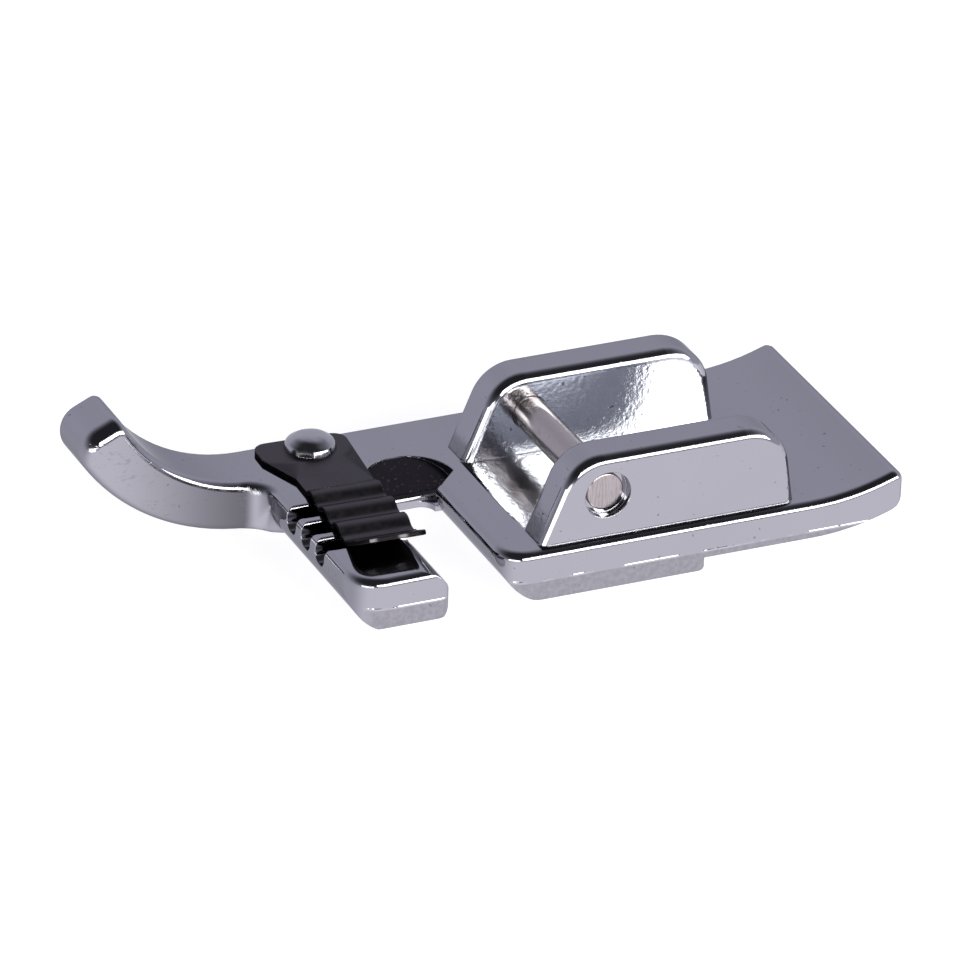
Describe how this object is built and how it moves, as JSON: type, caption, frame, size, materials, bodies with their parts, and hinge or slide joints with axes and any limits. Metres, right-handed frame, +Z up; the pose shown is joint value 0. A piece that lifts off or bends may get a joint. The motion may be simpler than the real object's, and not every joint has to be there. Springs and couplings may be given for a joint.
{
  "type": "sewing machine presser foot",
  "caption": "Clip-on cording foot: a plated plate with upright ears, a cross pin, an upturned side horn, an open needle slot and a sprung leaf over the cord grooves.",
  "frame": {"origin": "middle of the cross pin, which is where the machine's ankle holds the foot", "axes": "+X along the cross pin, towards the open side of the needle slot; +Y to the rear, where the fabric leaves; +Z up, away from the sole"},
  "size_m": [0.0174, 0.0439, 0.0083],
  "materials": {
    "plated_casting": "bright plate over a cast surface, with small pits and a soft parting line",
    "pin_steel": "turned, slightly warm grey",
    "black_spring_steel": "blackened, satin, with worn lighter edges",
    "rivet_steel": "bright, lightly dished dome"
  },
  "bodies": {
    "foot": {"foot_body": "plated_casting", "cross_pin": "pin_steel", "leaf_rivet": "rivet_steel"},
    "leaf": {"cord_leaf": "black_spring_steel"}
  },
  "joints": [
    {"name": "leaf_flex", "type": "hinge", "parent": "foot", "child": "leaf", "pos_m": [-0.0063, -0.01135, -0.00255], "axis": [0, -1, 0], "range_deg": [0, 6], "stiffness_Nm_per_rad": 0.4, "deforming": ["cord_leaf"]}
  ]
}
